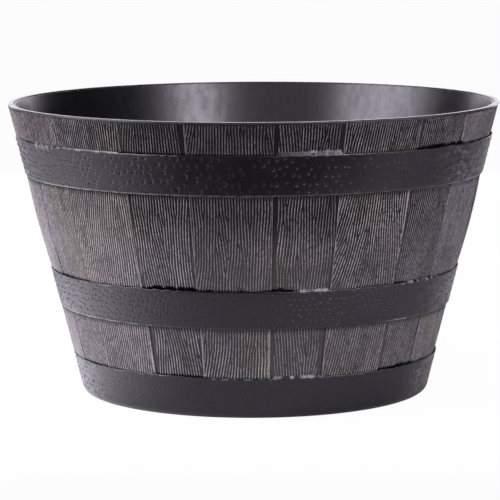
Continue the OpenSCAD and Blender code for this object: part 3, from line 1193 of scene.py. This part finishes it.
def drain_cutter():
    """Cylinders through the floor of the pot, one at each drain hole."""
    bm = bmesh.new()
    floor_top = floor_height()
    for plug in (plug_sizes(n) for n in range(1, PLUGS + 1)):
        bmesh.ops.create_cone(
            bm, cap_ends=True, segments=HOLE_SIDES, radius1=plug.hole, radius2=plug.hole,
            depth=3 * (floor_top - plug.low),
            matrix=Matrix.Translation((plug.x, plug.y, (plug.low + floor_top) / 2)),
        )
    return add_mesh("drain_cutter", bm)


class PLANTER_OT_pot(bpy.types.Operator):
    """Model the smooth pot with its drain holes"""

    bl_idname = "planter.pot"
    bl_label = "Inner pot"

    def execute(self, context):
        top = levels("inner_pot")[1]
        inside_top, collar = level_radii("inner_pot", top)
        foot_in, foot_out = level_radii("inner_pot", 0.0)
        stave_top = levels("wide_stave_01")[1]
        floor_top = floor_height()
        rise = levels("drain_plug_1")[0]
        wall = cone_between(0.0, foot_in, top, inside_top)
        bm = new_profile([
            (0.0, floor_top), (wall(floor_top), floor_top), (inside_top, top), (collar, top),
            (collar, stave_top), (foot_out, 0.0), (foot_in, 0.0), (wall(rise), rise), (0.0, rise),
        ])

        def floor_corner(place):
            return abs(place.z - floor_top) < TOUCH and -place.y > foot_in / 2

        def on_wall(place):
            return -1 * MM < -place.y - wall(place.z) < 0.5 * MM and WALL_FROM < place.z < top

        open_at_axis(bm)
        round_corners(bm, floor_corner, radius=5 * MM, segments=8)
        split_edge(bm, on_wall, WALL_CUTS)
        spin(bm, FULL_TURN, RING_STEPS)
        material = smooth_plastic(
            "pot", context.scene.planter_pot.inside, roughness=0.33, skin_scale=340.0, skin_depth=0.05 * MM,
            flow=0.045, gloss=0.77, wobble=0.08 * MM,
        )
        piece = finish_piece(bm, "inner_pot_smooth", BODY, material, ["inner_pot"])
        cutter = drain_cutter()
        cut = piece.modifiers.new("drain_holes", "BOOLEAN")
        cut.operation = "DIFFERENCE"
        cut.solver = "EXACT"
        cut.object = cutter
        whole = bpy.data.meshes.new_from_object(piece.evaluated_get(context.evaluated_depsgraph_get()))
        piece.modifiers.clear()
        piece.data = whole
        bpy.data.objects.remove(cutter)
        return {"FINISHED"}


def plug_outline(plug, floor_top):
    """Half the outline of a drain plug: hollow stem, flange on the floor, neck and round knob."""
    hollow = HOLLOW_SHARE * plug.stem
    hollow_top = plug.low + PLUG_HOLLOW
    knob_z = plug.high - plug.knob
    neck_top = knob_z - math.sqrt(plug.knob**2 - plug.neck**2)
    outline = [
        (0.0, hollow_top), (hollow, hollow_top), (hollow, plug.low), (plug.stem, plug.low),
        (plug.stem, floor_top), (plug.flange, floor_top), (plug.flange, plug.flange_top),
        (plug.neck, plug.flange_top), (plug.neck, neck_top),
    ]
    neck_angle = math.asin(plug.neck / plug.knob) - math.pi / 2
    for angle in np.linspace(neck_angle, math.pi / 2, KNOB_STEPS + 1)[1:]:
        outline.append((max(0.0, plug.knob * math.cos(angle)), knob_z + plug.knob * math.sin(angle)))
    return outline


def make_plug(n, material):
    """One rubber drain plug in its hole."""
    node = f"drain_plug_{n}"
    plug = plug_sizes(n)

    def flange_corner(place):
        return -place.y > plug.flange - AT_CORNER and place.z > plug.flange_top - AT_CORNER

    bm = new_profile(plug_outline(plug, floor_height()))
    open_at_axis(bm)
    round_corners(bm, flange_corner, radius=0.7 * MM, segments=3)
    spin(bm, FULL_TURN, PLUG_STEPS)
    bmesh.ops.translate(bm, verts=bm.verts, vec=(plug.x, plug.y, 0))
    finish_piece(bm, node + "_rubber", node, material, [node])


class PLANTER_OT_plugs(bpy.types.Operator):
    """Model the rubber drain plugs"""

    bl_idname = "planter.plugs"
    bl_label = "Drain plugs"

    def execute(self, context):
        rubber = context.scene.planter_pot.rubber
        material = smooth_plastic("plug", rubber, roughness=0.6, skin_scale=900.0, skin_depth=0.08 * MM)
        for n in range(1, PLUGS + 1):
            make_plug(n, material)
        return {"FINISHED"}


# The stage

STUDIO_GREY = (0.05, 0.048, 0.056)
WHITE = (1.0, 1.0, 1.0)
LIGHT_TINT = (1.0, 0.95, 1.09)
FLOOR_SIZE = 30
# Middle of the light that the floor gives back to the planter's left side
GLOW_PLACE = (-0.28, 0.05, 0)
ON_PLANTER = (0, 0, 0.1)
# Place, aim, width and height, and power in watts of each soft light
LIGHTS = {
    "left_softbox": ((-1.8, -0.5, 0.85), ON_PLANTER, (1.7, 1.4), 44),
    "right_softbox": ((0.91, -1.46, 1.0), ON_PLANTER, (0.82, 0.9), 17),
    "front_fill": ((-0.5, -2.3, 1.2), ON_PLANTER, (1.4, 0.9), 3),
    "low_card": ((1.2, -0.7, 0.14), ON_PLANTER, (1.1, 0.28), 3.6),
    "backdrop": ((0, 1.6, 0.45), (0, 0, 0.45), (2.4, 0.9), 13),
    "top_softbox": ((0, 0.4, 1.9), ON_PLANTER, (1.6, 0.8), 5),
}


def soft_light(name, place, aim, size, watts):
    """A rectangular soft light at a place, turned to a point."""
    data = bpy.data.lights.new(name, "AREA")
    data.shape = "RECTANGLE"
    data.size, data.size_y = size
    data.energy = watts
    data.color = LIGHT_TINT
    light = add_object(name, data)
    light.location = place
    light.rotation_euler = (Vector(aim) - Vector(place)).to_track_quat("-Z", "Y").to_euler()


def show_white(shader, output, white, strength):
    """Shows plain white to rays from the camera and through glass, and what is lit to all others."""
    path = shader.add("ShaderNodeLightPath").outputs
    direct = shader.math("MAXIMUM", path["Is Camera Ray"], path["Is Transmission Ray"])
    blend = shader.add("ShaderNodeMixShader")
    shader.feed(blend.inputs[0], shader.times(direct, strength))
    shader.feed(blend.inputs[1], shader.surface.outputs[0])
    shader.feed(blend.inputs[2], shader.fill(shader.add(white), Color=opaque(WHITE))[0])
    shader.feed(shader.tree.nodes[output].inputs["Surface"], blend.outputs[0])


def studio_world():
    """A dim grey studio that the camera sees as white."""
    shader = Shader(bpy.data.worlds.new("studio"), "Background")
    shader.fill(shader.surface, Color=opaque(STUDIO_GREY))
    show_white(shader, "World Output", "ShaderNodeBackground", 1.0)
    return shader.block


def floor_material():
    """Pale ground, darker in front and to the right, with a glow by the planter that lights its left side."""
    shader = Shader(bpy.data.materials.new("floor"))
    place = shader.object_place()
    side = shader.fill(shader.add("ShaderNodeSeparateXYZ"), Vector=place)
    front = shader.fit(side["Y"], (-0.41, -0.27), (0.05, 1.0))
    right = shader.fit(side["X"], (0.3, 0.6), (1.0, 0.6))
    off = shader.add("ShaderNodeVectorMath", operation="DISTANCE")
    shader.feed(off.inputs[0], place)
    shader.feed(off.inputs[1], GLOW_PLACE)
    shader.fill(
        shader.surface,
        Base_Color=shader.times(front, right),
        Roughness=0.9,
        Emission_Color=opaque(LIGHT_TINT),
        Emission_Strength=shader.fit(off.outputs["Value"], (0.11, 0.32), (1.25, 0.0)),
    )
    show_white(shader, "Material Output", "ShaderNodeEmission", 0.97)
    return shader.block


def add_floor():
    """A wide floor under the planter."""
    bm = bmesh.new()
    bmesh.ops.create_grid(bm, x_segments=1, y_segments=1, size=FLOOR_SIZE)
    floor = add_mesh("floor", bm)
    floor.data.materials.append(floor_material())


def add_camera(settings):
    """The camera in front of the planter, turned, tilted down and rolled."""
    data = bpy.data.cameras.new("camera")
    data.sensor_width = 36
    data.lens = settings.lens
    camera = add_object("camera", data)
    place = Matrix.Translation((0, -settings.camera_distance, settings.camera_height))
    turn = Matrix.Rotation(settings.camera_turn, 4, "Z")
    tilt = Matrix.Rotation(math.pi / 2 - settings.camera_tilt, 4, "X")
    camera.matrix_world = place @ turn @ tilt @ Matrix.Rotation(settings.camera_roll, 4, "Z")
    bpy.context.scene.camera = camera


class PLANTER_OT_stage(bpy.types.Operator):
    """Set up the floor, the lights and the camera"""

    bl_idname = "planter.stage"
    bl_label = "Stage"

    def execute(self, context):
        context.scene.view_settings.view_transform = "Standard"
        context.scene.world = studio_world()
        add_floor()
        for name, look in LIGHTS.items():
            soft_light(name, *look)
        add_camera(context.scene.planter_stage)
        return {"FINISHED"}


class PLANTER_PT_panel(bpy.types.Panel):
    """Lists the operators of the planter"""

    bl_idname = "PLANTER_PT_panel"
    bl_label = "Planter"
    bl_space_type = "VIEW_3D"
    bl_region_type = "UI"
    bl_category = "Planter"

    def draw(self, context):
        for step in STEPS:
            self.layout.operator(step.bl_idname)


STEPS = (
    PLANTER_OT_stage,
    PLANTER_OT_staves,
    PLANTER_OT_hoops,
    PLANTER_OT_rim,
    PLANTER_OT_pot,
    PLANTER_OT_plugs,
)


def register():
    for settings in SETTINGS.values():
        bpy.utils.register_class(settings)
    for name, settings in SETTINGS.items():
        setattr(bpy.types.Scene, name, PointerProperty(type=settings))
    for step in (*STEPS, PLANTER_PT_panel):
        bpy.utils.register_class(step)


def unregister():
    for step in (PLANTER_PT_panel, *reversed(STEPS)):
        bpy.utils.unregister_class(step)
    for name in SETTINGS:
        delattr(bpy.types.Scene, name)
    for settings in reversed(tuple(SETTINGS.values())):
        bpy.utils.unregister_class(settings)


def main():
    register()
    bpy.ops.planter.stage()
    bpy.ops.planter.staves()
    bpy.ops.planter.hoops()
    bpy.ops.planter.rim()
    bpy.ops.planter.pot()
    bpy.ops.planter.plugs()


if __name__ == "__main__":
    main()
